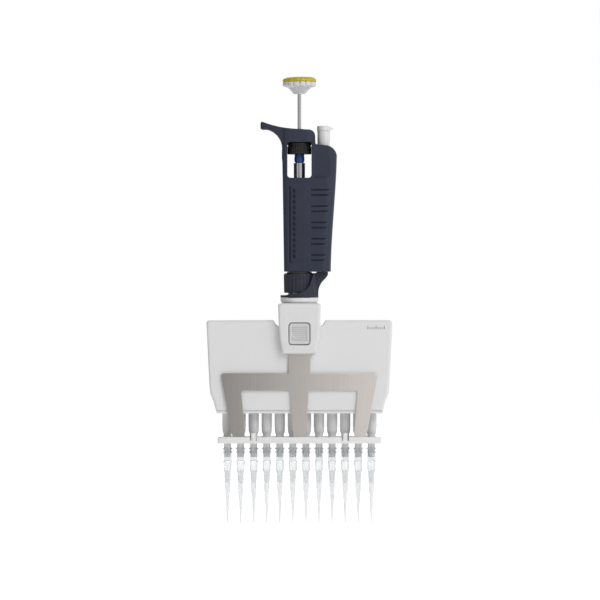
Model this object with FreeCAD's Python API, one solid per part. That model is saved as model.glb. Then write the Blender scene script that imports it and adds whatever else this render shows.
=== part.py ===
import FreeCAD, Part
import math
import os
from FreeCAD import Vector

os.makedirs("parts", exist_ok=True)

# Twelve-channel hand pipette with its tips, standing upright: +Z runs up the plunger axis, X runs along
# the row of channels, and the ejector plate is on the -Y side. Z is 0 at the tip ends. Millimetres.

# Channels: microplate pitch, and heights along one channel from the tip end up
CHANNELS = 12
PITCH = 9.0
CHANNEL_X = [(i - (CHANNELS - 1) / 2) * PITCH for i in range(CHANNELS)]
TIP_TOP = 52.0
NOZZLE_END = 45.5
NOZZLE_SHOULDER = 62.4
NOZZLE_TOP = 92.0
NOZZLE_RADIUS = 3.55
NOZZLE_FIT = 0.05
PISTON_RADIUS = 2.0
PISTON_BOTTOM = 88.0
PISTON_TOP = 121.4
STEM_LOW = 121.6
STEM_RADIUS = 2.6

# Travels
EJECT_TRAVEL = 9.0

# Head housing and what it holds
HOUSING_HALF_WIDTH = 63.9
HOUSING_HALF_DEPTH = 10.0
HOUSING_TOP = 139.7
HOUSING_SADDLE = 135.7
HOUSING_BOTTOM = 77.7
HOUSING_WALL = 1.8
CAVITY_TOP = 133.7
PLATE_TOP = 77.4
PLATE_BOTTOM = 75.8
PLATE_STEP_TOP = 82.0
CARRIER_LOW = 118.0
CARRIER_HIGH = 123.0
RETAINER_LOW = 90.0
RETAINER_HIGH = 97.5
GUIDE_ROD_X = 27.0
GUIDE_ROD_RADIUS = 1.5
SCREW_PLACES = [(38.0, 129.5), (57.2, 106.0), (56.4, 86.5)]
SCREW_RADIUS = 1.4
SCREW_HEAD_RADIUS = 2.6
TOWARDS_BACK = Vector(0, 1, 0)

# Neck, spigot and connecting nut
NECK_RADIUS = 7.8
NECK_BORE = 5.2
NECK_LOW = 129.5
SPRING_SEAT = 132.0
COLLAR_LOW = 161.5
COLLAR_HIGH = 165.0
SPIGOT_THREAD_RADIUS = 8.6
SPIGOT_PLUG_RADIUS = 7.5
SPIGOT_LOW = 165.2
SPIGOT_HIGH = 189.5
NUT_LOW = 158.5
NUT_HIGH = 172.2
NUT_RADIUS = 10.9

# Handle
HANDLE_LOW = 173.1
HANDLE_HALF_DEPTH = 9.6
GRIP_LEVELS = [
    (HANDLE_LOW, -10.6, 21.6),
    (207.6, -11.1, 23.2),
    (243.9, -11.7, 25.5),
    (261.5, -12.1, 25.9),
]
WINDOW_HALF = 8.3
WINDOW_LOW = 237.6
WINDOW_HIGH = 262.1
MECHANISM_BORE = 7.6
EJECTOR_X = 16.7
EJECTOR_SHAFT_RADIUS = 4.3
EJECTOR_ROD_RADIUS = 2.0

# Ejector carriage, plate and stripper bar
CARRIAGE_HALF_DEPTH = 15.5
CARRIAGE_TOP = 151.5
CARRIAGE_LOW = 116.7
PLATE_FRONT = -11.7
PLATE_BACK = -10.5
LATCH_HALF = 7.5
LATCH_LOW = 122.7
LATCH_HIGH = 138.2
LATCH_PIN_Z = 124.4
LATCH_PIN_Y = -13.9
LATCH_PIN_RADIUS = 0.7
BAR_HALF_WIDTH = 56.2
BAR_LOW = 55.2
BAR_FLOOR = 57.0
BAR_RIM = 59.6
BAR_FRONT = -13.2
BAR_BACK = 7.0
TAB_X = 3.5 * PITCH

# Number drums, springs and the rod they stand round
DRUM_LOW = 198.6
DRUM_HEIGHT = 7.0
DRUM_STEP = 7.6
ROD_RADIUS = 1.25
ROD_LOW = 168.6
ROD_HIGH = 301.0
RETURN_SPRING_TOP = 162.9
WASHER_LOW = 143.0
WASHER_THICK = 1.2
EJECTOR_SPRING_LOW = 232.2
EJECTOR_SPRING_TOP = 245.8


def ring(outer, inner, low, high, x=0.0, y=0.0):
    """Tube about a vertical axis, or a plain cylinder when inner is 0."""
    body = Part.makeCylinder(outer, high - low, Vector(x, y, low))
    if inner:
        body = body.cut(Part.makeCylinder(inner, high - low, Vector(x, y, low)))
    return body


def block(x0, x1, y0, y1, z0, z1):
    return Part.makeBox(x1 - x0, y1 - y0, z1 - z0, Vector(x0, y0, z0))


def outline(steps, place):
    """Closed wire. A step of two numbers is a corner, one of four is an arc: its middle and its end."""
    edges = []
    here = steps[0]
    for step in steps[1:] + [steps[0]]:
        end = step[-2:]
        if len(step) == 4:
            arc = Part.Arc(place(*here), place(*step[:2]), place(*end))
            edges.append(arc.toShape())
        elif place(*here).distanceToPoint(place(*end)) > 1e-6:
            edges.append(Part.LineSegment(place(*here), place(*end)).toShape())
        here = end
    return Part.Wire(edges)


def front_prism(steps, y0, y1):
    """Outline drawn in X and Z, as seen from the front, given depth from y0 to y1."""
    wire = outline(steps, lambda x, z: Vector(x, y0, z))
    return Part.Face(wire).extrude(Vector(0, y1 - y0, 0))


def plan_prism(steps, z0, z1):
    """Outline drawn in X and Y, as seen from above, given height from z0 to z1."""
    wire = outline(steps, lambda x, y: Vector(x, y, z0))
    return Part.Face(wire).extrude(Vector(0, 0, z1 - z0))


def side_prism(steps, x0, x1):
    """Outline drawn in Y and Z, as seen from the side, given width from x0 to x1."""
    wire = outline(steps, lambda y, z: Vector(x0, y, z))
    return Part.Face(wire).extrude(Vector(x1 - x0, 0, 0))


def turned(steps, x=0.0, y=0.0):
    """Outline drawn as radius and height, turned about the vertical axis through x, y."""
    wire = outline(steps, lambda r, z: Vector(r, 0, z))
    body = Part.Face(wire).revolve(Vector(0, 0, 0), Vector(0, 0, 1), 360)
    body.translate(Vector(x, y, 0))
    return body


def both_sides(half):
    """The half at +X joined with its mirror image at -X."""
    return half.fuse(half.mirror(Vector(0, 0, 0), Vector(1, 0, 0))).removeSplitter()


def around(shape, count):
    """Copies of a shape spread evenly about the plunger axis."""
    copies = []
    for i in range(count):
        copy = shape.copy()
        copy.rotate(Vector(0, 0, 0), Vector(0, 0, 1), 360.0 * i / count)
        copies.append(copy)
    return copies


def straight_edges(shape, direction):
    """Straight edges of a shape that run along a direction."""
    found = []
    for edge in shape.Edges:
        if isinstance(edge.Curve, Part.Line):
            if abs(edge.tangentAt(edge.FirstParameter).dot(direction)) > 0.999:
                found.append(edge)
    return found


def front_face_edges(shape, y):
    """Edges that lie in the plane at this depth."""
    return [e for e in shape.Edges if abs(e.BoundBox.YMin - y) < 1e-4 and abs(e.BoundBox.YMax - y) < 1e-4]


def coil(radius, wire_radius, low, high, turns, x=0.0):
    """Round-wire compression spring standing on low."""
    height = high - low - 2 * wire_radius
    rise = height / turns
    helix = Part.makeHelix(rise, height, radius)
    along_wire = Vector(0, 2 * math.pi * radius, rise)
    section = Part.Wire(Part.makeCircle(wire_radius, Vector(radius, 0, 0), along_wire))
    body = Part.Wire(helix).makePipeShell([section], True, True)
    body.translate(Vector(x, 0, low + wire_radius))
    return body


def save(shape, node):
    shape.exportStep("parts/" + node + ".step")


def grip_section(z, left, right):
    """Rounded cross-section of the grip: a tight round along the hook side, a fuller one along the other."""
    half = HANDLE_HALF_DEPTH
    near, far = 4.6, 6.5
    k = 1 - math.sqrt(0.5)
    steps = [
        (left + near, -half),
        (right - far, -half),
        (right - k * far, -half + k * far, right, -half + far),
        (right, half - far),
        (right - k * far, half - k * far, right - far, half),
        (left + near, half),
        (left + k * near, half - k * near, left, half - near),
        (left, -half + near),
        (left + k * near, -half + k * near, left + near, -half),
    ]
    return outline(steps, lambda x, y: Vector(x, y, z))


def handle():
    """One-piece moulded grip with the finger-rest hook, the through window and its bores."""
    grip = Part.makeLoft([grip_section(*level) for level in GRIP_LEVELS], True, False)
    crown = Part.Face(grip_section(250.0, -12.1, 11.0)).extrude(Vector(0, 0, 24.0))
    hook_plan = [
        (0.0, -8.8),
        (-24.0, -6.4),
        (-26.0, -5.6, -26.8, -3.6),
        (-26.8, 3.6),
        (-26.0, 5.6, -24.0, 6.4),
        (0.0, 8.8),
    ]
    hook = plan_prism(hook_plan, 256.6, 278.0)
    side_view = [
        (-14.0, HANDLE_LOW),
        (-14.0, 256.6),
        (-12.05, 256.6),
        (-14.7, 266.0, -22.2, 270.9),
        (-25.8, 270.9),
        (-26.5, 271.2, -26.8, 271.9),
        (-26.8, 275.2),
        (-26.4, 276.1, -25.4, 276.2),
        (-13.5, 272.7, -1.0, 271.2),
        (5.4, 270.8),
        (9.4, 269.7, 10.9, 266.4),
        (11.0, 261.6),
        (11.5, 260.8, 12.3, 260.6),
        (19.7, 259.8),
        (24.2, 256.6, 25.9, 249.8),
        (30.0, 249.8),
        (30.0, HANDLE_LOW),
    ]
    body = grip.fuse([crown, hook]).common(front_prism(side_view, -12, 12))
    window = block(-WINDOW_HALF, WINDOW_HALF, -12, 12, WINDOW_LOW, WINDOW_HIGH)
    low_corners = [e for e in straight_edges(window, Vector(0, 1, 0)) if e.BoundBox.ZMax < 240]
    window = window.makeFillet(2.2, low_corners)
    cuts = [
        window,
        ring(3.2, 0, WINDOW_HIGH - 1, 273),
        ring(5.6, 0, 227, WINDOW_LOW + 1),
        ring(MECHANISM_BORE, 0, HANDLE_LOW - 1, 228),
        ring(EJECTOR_SHAFT_RADIUS + 0.3, 0, 232, 263, EJECTOR_X),
        ring(EJECTOR_ROD_RADIUS + 0.2, 0, HANDLE_LOW - 1, 233, EJECTOR_X),
        block(-3.4, 3.4, 5, 12, 197.5, 222.5),
        block(-4.4, 4.4, 8.2, 12, 195.5, 224.5),
    ]
    cuts += grip_hollows(-1) + grip_hollows(1)
    return body.cut(cuts)


def grip_hollows(side):
    """Shallow hollows in one broad face: paired grip grooves, a thumb hollow and, in front, a long strip."""
    face = side * HANDLE_HALF_DEPTH
    sunk = side * (HANDLE_HALF_DEPTH - 0.7)
    proud = side * (HANDLE_HALF_DEPTH + 1)
    shapes = []
    deep = side * (HANDLE_HALF_DEPTH - 1.0)
    pair_step, groove_step, groove_height = 11.2, 3.55, 1.1
    for pair in range(5):
        for groove in range(2):
            z = 229.8 - pair * pair_step - groove * groove_step
            right = 21.4 - 0.5 * pair
            plan = [(6.6, face), (8.6, deep), (right, deep)]
            plan += [(right + 1.2, face), (right, proud), (7.0, proud)]
            shapes.append(plan_prism(plan, z - groove_height, z))
    thumb = [(face, 258.0), (sunk, WINDOW_LOW), (proud, WINDOW_LOW), (proud, 258.0)]
    shapes.append(side_prism(thumb, 9.6, 28.0))
    if side < 0:
        strip = [(-6.9, sunk), (3.2, face), (3.2, proud), (-6.9, proud)]
        shapes.append(plan_prism(strip, 179.0, 232.0))
        shapes.append(block(-7.1, -6.1, proud, side * (HANDLE_HALF_DEPTH - 1.5), 179.4, 231.6))
    return shapes


def rod_guide():
    return turned([(1.35, 262.3), (3.2, 262.3), (3.2, 270.6), (2.6, 271.4), (1.35, 271.4)])


def sleeve_bush():
    return turned([(4.0, 229.0), (5.6, 229.0), (5.6, 237.4), (4.0, 237.4)])


def volumeter_frame():
    """Cup round the number drums, open towards the lens at the back."""
    cup = ring(7.5, 6.75, 196.2, 223.5).fuse(ring(7.0, 4.1, 222.0, 223.5))
    return cup.cut(block(-3.2, 3.2, 0, 9, 198.2, 221.8))


def volumeter_lens():
    """Clear window, seated in the rebate and slightly domed outwards."""
    plan = [(-4.3, 8.25), (4.3, 8.25), (4.3, 9.2), (0.0, 9.6, -4.3, 9.2)]
    lens = plan_prism(plan, 195.6, 224.4)
    return lens.makeFillet(1.0, straight_edges(lens, Vector(0, 1, 0)))


def number_drum(place):
    low = DRUM_LOW + place * DRUM_STEP
    return ring(6.55, 4.0, low, low + DRUM_HEIGHT)


def drive_sleeve():
    steps = [
        (2.95, 197.5),
        (3.9, 197.5),
        (3.9, 247.9),
        (2.4, 247.9),
        (2.4, 259.0),
        (1.4, 259.0),
        (1.4, 243.0),
        (2.95, 243.0),
    ]
    return turned(steps)


def drive_screw():
    return ring(2.85, 1.4, 190.0, 240.0)


def drive_nut():
    return ring(7.5, 2.95, 190.2, 196.0)


def friction_collar():
    """Blue collar with a rounded lower edge under the thumbwheel."""
    steps = [(2.4, 247.95), (2.7, 247.95), (3.27, 248.18, 3.5, 248.75), (3.5, 253.9), (2.4, 253.9)]
    return turned(steps)


def thumbwheel():
    """Fluted wheel as wide as the window, with a plain flange above a narrow groove."""
    steps = [
        (2.4, 253.9),
        (7.9, 253.9),
        (8.2, 254.2),
        (8.2, 259.3),
        (7.8, 259.6),
        (7.8, 260.0),
        (8.2, 260.3),
        (8.2, 261.6),
        (7.9, 261.9),
        (1.5, 261.9),
        (1.5, 259.0),
        (2.4, 259.0),
    ]
    flute = ring(0.5, 0, 253.0, 259.8, 8.4)
    return turned(steps).cut(around(flute, 32))


def operating_rod():
    return ring(ROD_RADIUS, 0, ROD_LOW, ROD_HIGH)


def rod_foot():
    return turned([(ROD_RADIUS, 169.0), (2.2, 168.5), (2.8, 169.0), (2.8, 172.5), (ROD_RADIUS, 172.5)])


def push_button():
    """White button: a fluted rim over a ribbed funnel that grips the rod."""
    steps = [
        (ROD_RADIUS, 295.5),
        (4.0, 295.5),
        (7.2, 299.6),
        (10.6, 300.5),
        (11.5, 301.0),
        (11.5, 303.9),
        (7.0, 303.9),
        (7.0, 302.4),
        (0.0, 302.4),
        (0.0, ROD_HIGH),
        (ROD_RADIUS, ROD_HIGH),
    ]
    body = turned(steps)
    rib = front_prism([(3.0, 295.5), (4.5, 295.5), (8.0, 299.9), (10.4, 300.7), (3.0, 301.2)], -0.4, 0.4)
    scallop = ring(1.25, 0, 300.0, 303.2, 12.45)
    return body.fuse(around(rib, 16)).cut(around(scallop, 16))


def button_cap():
    """Yellow domed cap, plugged into the button."""
    steps = [
        (0.0, 302.4),
        (6.9, 302.4),
        (6.9, 303.95),
        (11.7, 303.95),
        (11.75, 304.4),
        (10.9, 306.2, 8.6, 307.1),
        (7.6, 307.25),
        (0.0, 307.25),
    ]
    return turned(steps)


def ejector_button():
    """Light grey button: a round shaft under a head with a pointed lip."""
    left, lip = 12.1, 23.5
    side_view = [
        (left, 270.1),
        (left, 273.0),
        (left + 0.4, 273.4),
        (19.5, 273.4),
        (lip, 272.0),
        (lip, 271.1),
        (21.5, 271.1),
        (20.8, 270.1),
    ]
    plan = [(19.5, -4.2), (lip, -1.6), (lip, 1.6), (19.5, 4.2), (EJECTOR_X - 0.5, 5.0, left, 0.0)]
    plan.append((EJECTOR_X - 0.5, -5.0, 19.5, -4.2))
    head = front_prism(side_view, -6, 6).common(plan_prism(plan, 269, 275))
    shaft = ring(EJECTOR_SHAFT_RADIUS, 0, 246.0, 271.0, EJECTOR_X)
    return head.fuse(shaft).cut(ring(EJECTOR_ROD_RADIUS, 0, 245.0, 258.0, EJECTOR_X)).removeSplitter()


def ejector_spring():
    return coil(3.3, 0.45, EJECTOR_SPRING_LOW, EJECTOR_SPRING_TOP, 6, EJECTOR_X)


def ejector_rod():
    return ring(EJECTOR_ROD_RADIUS, 0, 166.0, 258.0, EJECTOR_X)


def ejector_arm():
    """Arm that wraps round the right of the nut and carries the ring over the neck."""
    side_view = [
        (9.7, 172.2),
        (11.4, 172.2),
        (11.5, 173.0),
        (19.6, 173.0),
        (19.7, 171.2),
        (18.6, 169.3, 17.1, 167.6),
        (13.9, 163.0, 13.1, 157.0),
        (-9.6, 157.0),
        (-7.6, 157.4),
        (-5.6, 158.5),
        (0.9, 158.8, 4.4, 160.3),
        (6.4, 162.8, 7.8, 165.9),
        (9.0, 169.9),
    ]
    shell = ring(13.1, 11.2, 156.0, 172.2)
    web = block(11.6, 21.0, -5.0, 5.0, 156.0, 173.0)
    web_corners = [e for e in straight_edges(web, Vector(0, 0, 1)) if e.BoundBox.XMax > 20]
    web = web.makeFillet(2.4, web_corners)
    wrap = shell.fuse(web).common(front_prism(side_view, -14, 14))
    flange = ring(13.1, NECK_RADIUS + 0.3, 155.2, 157.0)
    body = wrap.fuse(flange).cut(ring(EJECTOR_ROD_RADIUS, 0, 166.0, 173.0, EJECTOR_X))
    return body.cut(ring(11.2, 0, 157.0, 173.0)).removeSplitter()


def connecting_nut():
    """Fluted nut, held on the spigot thread, whose lip lifts the neck collar."""
    steps = [
        (NECK_RADIUS + 0.2, NUT_LOW),
        (10.2, NUT_LOW),
        (10.6, NUT_LOW + 0.5),
        (NUT_RADIUS, NUT_HIGH - 1.2),
        (NUT_RADIUS - 0.9, NUT_HIGH),
        (SPIGOT_THREAD_RADIUS + 0.1, NUT_HIGH),
        (SPIGOT_THREAD_RADIUS + 0.1, 161.3),
        (NECK_RADIUS + 0.2, 161.3),
    ]
    flute = ring(0.8, 0, NUT_LOW + 1.6, NUT_HIGH - 2.0, NUT_RADIUS + 0.4)
    return turned(steps).cut(around(flute, 24))


def threaded_spigot():
    """Threaded spigot plugged into the handle's bore."""
    plug = ring(SPIGOT_PLUG_RADIUS, NECK_BORE, 172.8, SPIGOT_HIGH)
    return plug.fuse(ring(SPIGOT_THREAD_RADIUS, NECK_BORE, SPIGOT_LOW, 172.9)).removeSplitter()


def neck():
    """Tube of the head: a flange inside the housing, a collar inside the nut."""
    flange = ring(9.4, 0, NECK_LOW, CAVITY_TOP - 0.1).common(block(-10, 10, -8.1, 8.1, 120, 140))
    tube = ring(NECK_RADIUS, 0, NECK_LOW, COLLAR_HIGH)
    collar = ring(SPIGOT_THREAD_RADIUS - 0.05, 0, COLLAR_LOW, COLLAR_HIGH)
    body = flange.fuse([tube, collar]).removeSplitter()
    stem_hole = ring(2.7, 0, NECK_LOW - 1, SPRING_SEAT + 1)
    return body.cut([stem_hole, ring(NECK_BORE, 0, SPRING_SEAT, COLLAR_HIGH + 1)])


def return_spring():
    return coil(3.15, 0.35, SPRING_SEAT, RETURN_SPRING_TOP, 11)


def blowout_spring():
    return coil(4.45, 0.45, SPRING_SEAT, WASHER_LOW, 4)


def blowout_washer():
    return ring(5.0, 3.7, WASHER_LOW, WASHER_LOW + WASHER_THICK)


def piston_stem():
    """Stem with a broad head, which the rod foot presses on."""
    shank = [(0.0, STEM_LOW), (STEM_RADIUS, STEM_LOW), (STEM_RADIUS, 163.0)]
    head = [(4.6, 163.0), (4.6, 167.8), (4.1, 168.3), (0.0, 168.3)]
    return turned(shank + head)


def piston_carrier():
    """Bar that holds every piston, drilled for them, the stem and the guide rods."""
    bar = block(-53.0, 53.0, -6.0, 6.0, CARRIER_LOW, CARRIER_HIGH)
    bar = bar.makeFillet(3.0, straight_edges(bar, Vector(0, 0, 1)))
    holes = [ring(PISTON_RADIUS, 0, CARRIER_LOW - 1, PISTON_TOP, x) for x in CHANNEL_X]
    for side in (-1, 1):
        holes.append(ring(GUIDE_ROD_RADIUS + 0.1, 0, CARRIER_LOW - 1, CARRIER_HIGH + 1, side * GUIDE_ROD_X))
    holes.append(ring(STEM_RADIUS, 0, STEM_LOW, CARRIER_HIGH + 1))
    return bar.cut(holes)


def pistons():
    return Part.makeCompound([ring(PISTON_RADIUS, 0, PISTON_BOTTOM, PISTON_TOP, x) for x in CHANNEL_X])


def guide_rods():
    return Part.makeCompound([ring(GUIDE_ROD_RADIUS, 0, 96.0, 133.0, s * GUIDE_ROD_X) for s in (-1, 1)])


def seal_retainer():
    """Bar over the nozzles, with a pocket for each seal."""
    bar = block(-53.4, 53.4, -7.6, 7.6, RETAINER_LOW, RETAINER_HIGH)
    holes = []
    for x in CHANNEL_X:
        holes.append(ring(NOZZLE_RADIUS, 0, RETAINER_LOW - 1, 94.5, x))
        holes.append(ring(PISTON_RADIUS + 0.2, 0, 94.0, RETAINER_HIGH + 1, x))
    holes += [ring(GUIDE_ROD_RADIUS, 0, 96.0, RETAINER_HIGH + 1, s * GUIDE_ROD_X) for s in (-1, 1)]
    return bar.cut(holes)


def piston_seals():
    return Part.makeCompound([ring(3.45, PISTON_RADIUS + 0.05, 92.1, 94.4, x) for x in CHANNEL_X])


def nozzles():
    """Hollow nozzles: piston bore above, shoulder, air channel and the cone that takes a tip."""
    steps = [
        (1.0, NOZZLE_END),
        (2.1, NOZZLE_END),
        (2.45, TIP_TOP),
        (2.45, 54.4),
        (2.75, 55.0),
        (2.75, 61.4),
        (3.3, NOZZLE_SHOULDER),
        (NOZZLE_RADIUS, NOZZLE_SHOULDER + 1.4),
        (NOZZLE_RADIUS, PLATE_STEP_TOP),
        (4.3, PLATE_STEP_TOP),
        (4.3, PLATE_STEP_TOP + 2),
        (NOZZLE_RADIUS - NOZZLE_FIT, PLATE_STEP_TOP + 2),
        (NOZZLE_RADIUS - NOZZLE_FIT, NOZZLE_TOP),
        (2.3, NOZZLE_TOP),
        (2.3, 68.5),
        (1.0, 67.0),
    ]
    return Part.makeCompound([turned(steps, x) for x in CHANNEL_X])


def nozzle_plate():
    """Strip that closes the housing's lower edge, with a step that centres it."""
    front_view = [(0, PLATE_TOP), (57.2, PLATE_TOP), (56.7, PLATE_BOTTOM), (0, PLATE_BOTTOM)]
    half = front_prism(front_view, -HOUSING_HALF_DEPTH, HOUSING_HALF_DEPTH)
    step = block(-1, 55.0, -8.0, 8.0, PLATE_BOTTOM, PLATE_STEP_TOP)
    holes = [ring(NOZZLE_RADIUS + NOZZLE_FIT, 0, 70, 90, x) for x in CHANNEL_X]
    return both_sides(half.fuse(step)).cut(holes)


def housing_blank(grow, depth, top_steps):
    """Half of the housing's outline, moved inwards by -grow, mirrored to both sides."""
    side_steps = [
        (62.8 + grow, 115.6),
        (61.8 + grow, 96.3),
        (61.4 + grow, 90.0),
        (58.9 + grow, 83.7),
        (57.3 + grow, HOUSING_BOTTOM),
        (0.0, HOUSING_BOTTOM),
    ]
    return both_sides(front_prism(top_steps + side_steps, -depth, depth))


def screw_places():
    """X and Z of every housing screw, in mirrored pairs."""
    return [(side * x, z) for x, z in SCREW_PLACES for side in (-1, 1)]


def housing_halves():
    """Front and back shells, parted at the middle, with bosses for the screws."""
    top_steps = [
        (0.0, HOUSING_SADDLE),
        (14.6, HOUSING_SADDLE),
        (16.4, 136.8),
        (17.9, HOUSING_TOP),
        (HOUSING_HALF_WIDTH - 1.2, HOUSING_TOP),
        (HOUSING_HALF_WIDTH - 0.3, HOUSING_TOP - 0.3, HOUSING_HALF_WIDTH, HOUSING_TOP - 1.2),
    ]
    outer = housing_blank(0.0, HOUSING_HALF_DEPTH, top_steps)
    rims = front_face_edges(outer, -HOUSING_HALF_DEPTH) + front_face_edges(outer, HOUSING_HALF_DEPTH)
    rims = [e for e in rims if e.BoundBox.ZMax > HOUSING_BOTTOM + 0.1]
    outer = outer.makeFillet(0.8, rims)
    inner_top = [(0.0, CAVITY_TOP), (HOUSING_HALF_WIDTH - HOUSING_WALL - 0.8, CAVITY_TOP)]
    cavity = housing_blank(-HOUSING_WALL, HOUSING_HALF_DEPTH - HOUSING_WALL, inner_top)
    shell = outer.cut(cavity).cut(ring(NECK_RADIUS + 0.05, 0, CAVITY_TOP - 1, HOUSING_SADDLE + 1))
    for x, z in screw_places():
        boss = Part.makeCylinder(2.8, 17.0, Vector(x, -8.5, z), TOWARDS_BACK)
        thread_hole = Part.makeCylinder(SCREW_RADIUS + 0.02, 15.4, Vector(x, -6.1, z), TOWARDS_BACK)
        head_hole = Part.makeCylinder(SCREW_HEAD_RADIUS + 0.3, 3.0, Vector(x, 8.3, z), TOWARDS_BACK)
        shell = shell.fuse(boss).cut([thread_hole, head_hole])
    shell = shell.removeSplitter()
    front = shell.common(block(-80, 80, -20, -0.02, 60, 160))
    back = shell.common(block(-80, 80, 0.02, 20, 60, 160))
    return front, back


def housing_screws():
    """Pan-head screws with a hexagon socket, driven in from the back."""
    socket_radius = 1.25
    screws = []
    for x, z in screw_places():
        shank = Part.makeCylinder(SCREW_RADIUS, 14.4, Vector(x, -6.0, z), TOWARDS_BACK)
        head = Part.makeCylinder(SCREW_HEAD_RADIUS, 1.5, Vector(x, 8.35, z), TOWARDS_BACK)
        points = []
        for i in range(7):
            angle = math.radians(60 * i)
            reach = Vector(socket_radius * math.cos(angle), 0, socket_radius * math.sin(angle))
            points.append(Vector(x, 8.95, z) + reach)
        socket = Part.Face(Part.makePolygon(points)).extrude(Vector(0, 2, 0))
        screws.append(shank.fuse(head).cut(socket).removeSplitter())
    return Part.makeCompound(screws)


def ejector_carriage():
    """Block that straddles the housing and slides on the neck, with the latch pocket and the plate's slot."""
    half = [
        (0.0, CARRIAGE_TOP),
        (12.2, CARRIAGE_TOP),
        (14.6, CARRIAGE_TOP - 0.8),
        (14.2, 136.0),
        (13.5, 126.0),
        (12.1, 119.0),
        (11.5, 117.3, 10.0, CARRIAGE_LOW),
        (0.0, CARRIAGE_LOW),
    ]
    body = both_sides(front_prism(half, -CARRIAGE_HALF_DEPTH, CARRIAGE_HALF_DEPTH))
    rims = front_face_edges(body, -CARRIAGE_HALF_DEPTH) + front_face_edges(body, CARRIAGE_HALF_DEPTH)
    body = body.makeFillet(1.6, rims)
    room = HOUSING_HALF_DEPTH + 0.3
    cuts = [
        block(-20, 20, -room, room, 110, HOUSING_SADDLE + EJECT_TRAVEL + 0.5),
        ring(NECK_RADIUS + 0.2, 0, 140, 160),
        block(-7.6, 7.6, PLATE_FRONT - 0.1, PLATE_BACK + 0.1, 110, 121.6),
        latch_blank(LATCH_HALF, LATCH_LOW, LATCH_HIGH, 2.4, -20.0, -11.3),
        Part.makeCylinder(LATCH_PIN_RADIUS, 2 * 9.5, Vector(-9.5, LATCH_PIN_Y, LATCH_PIN_Z), Vector(1, 0, 0)),
    ]
    return body.cut(cuts)


def latch_blank(half, low, high, corner, y0, y1):
    """Square with rounded corners, as a prism in depth."""
    shape = block(-half, half, y0, y1, low, high)
    return shape.makeFillet(corner, straight_edges(shape, Vector(0, 1, 0)))


def latch_button():
    """Square button with cross ribs, hung on a pin along its lower edge."""
    body = latch_blank(LATCH_HALF - 0.35, LATCH_LOW + 0.35, LATCH_HIGH - 0.35, 2.1, -15.2, -12.7)
    cuts = [block(-5.3, 5.3, -16, -14.8, 125.6 + 1.5 * i, 126.4 + 1.5 * i) for i in range(7)]
    pin_bore = LATCH_PIN_RADIUS + 0.08
    cuts.append(Part.makeCylinder(pin_bore, 20, Vector(-10, LATCH_PIN_Y, LATCH_PIN_Z), Vector(1, 0, 0)))
    return body.cut(cuts)


def latch_pin():
    end = Vector(-9.4, LATCH_PIN_Y, LATCH_PIN_Z)
    return Part.makeCylinder(LATCH_PIN_RADIUS, 18.8, end, Vector(1, 0, 0))


def carriage_collar():
    """White collar on top of the block, which the ejector arm's ring presses on."""
    steps = [
        (NECK_RADIUS + 0.3, CARRIAGE_TOP),
        (11.6, CARRIAGE_TOP),
        (12.2, 152.0),
        (12.8, 152.2, 13.0, 152.8),
        (13.0, 155.1),
        (NECK_RADIUS + 0.3, 155.1),
    ]
    return turned(steps)


def ejector_plate():
    """Flat stainless plate: a stem, a cross bar and three prongs that reach down to the stripper bar."""
    half = [
        (0.0, 121.5),
        (7.5, 121.5),
        (7.5, 103.3),
        (51.4, 103.3),
        (53.2, 102.8, 53.6, 101.1),
        (46.4, 62.0),
        (45.4, BAR_FLOOR),
        (37.4, BAR_FLOOR),
        (37.6, 62.0),
        (39.95, 90.2),
        (39.6, 91.2, 38.6, 91.6),
        (6.3, 91.6),
        (4.1, BAR_FLOOR),
        (0.0, BAR_FLOOR),
    ]
    return both_sides(front_prism(half, PLATE_FRONT, PLATE_BACK))


def stripper_bar():
    """White tray with a hole for each nozzle, a low rim and two snap tabs."""
    tray = block(-BAR_HALF_WIDTH, BAR_HALF_WIDTH, BAR_FRONT, BAR_BACK, BAR_LOW, BAR_RIM)
    tray = tray.makeFillet(1.6, straight_edges(tray, Vector(0, 0, 1)))
    wall = 1.4
    inner = BAR_HALF_WIDTH - wall
    cuts = [block(-inner, inner, BAR_FRONT + wall, BAR_BACK - wall, BAR_FLOOR, BAR_RIM + 1)]
    cuts += [ring(2.95, 0, BAR_LOW - 1, BAR_FLOOR + 1, x) for x in CHANNEL_X]
    tabs = []
    for side in (-1, 1):
        x = side * TAB_X
        tabs.append(block(x - 1.4, x + 1.4, BAR_FRONT, BAR_FRONT + wall, BAR_FLOOR, 62.3))
        for slot in (x - 2.5, x + 1.4):
            cuts.append(block(slot, slot + 1.1, BAR_FRONT - 1, BAR_FRONT + 1.5, BAR_FLOOR, BAR_RIM + 1))
        end = side * (BAR_HALF_WIDTH - 1.6)
        cuts.append(block(end - 1.6, end + 1.6, BAR_FRONT - 1, BAR_BACK + 1, BAR_RIM - 0.6, BAR_RIM + 1))
    return tray.cut(cuts).fuse(tabs).removeSplitter()


def tip(x):
    """Disposable tip: rimmed collar that grips the nozzle, then a slim hollow cone."""
    steps = [
        (0.25, 0.0),
        (0.42, 0.0),
        (0.7, 7.7),
        (1.0, 13.7),
        (1.9, 24.4),
        (2.15, 35.2),
        (2.45, 35.8),
        (2.62, 42.1),
        (3.05, 42.2),
        (3.05, 42.7),
        (2.7, 42.8),
        (2.8, 48.5),
        (3.5, 48.6),
        (3.5, 49.2),
        (2.85, 49.3),
        (2.9, 51.0),
        (3.55, 51.1),
        (3.55, 51.7),
        (3.3, TIP_TOP),
        (2.45 + NOZZLE_FIT, TIP_TOP),
        (2.1 + NOZZLE_FIT, NOZZLE_END),
        (2.05, 36.0),
        (1.8, 35.0),
        (1.45, 24.4),
        (0.62, 13.7),
        (0.4, 7.7),
    ]
    return turned(steps, x)


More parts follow.
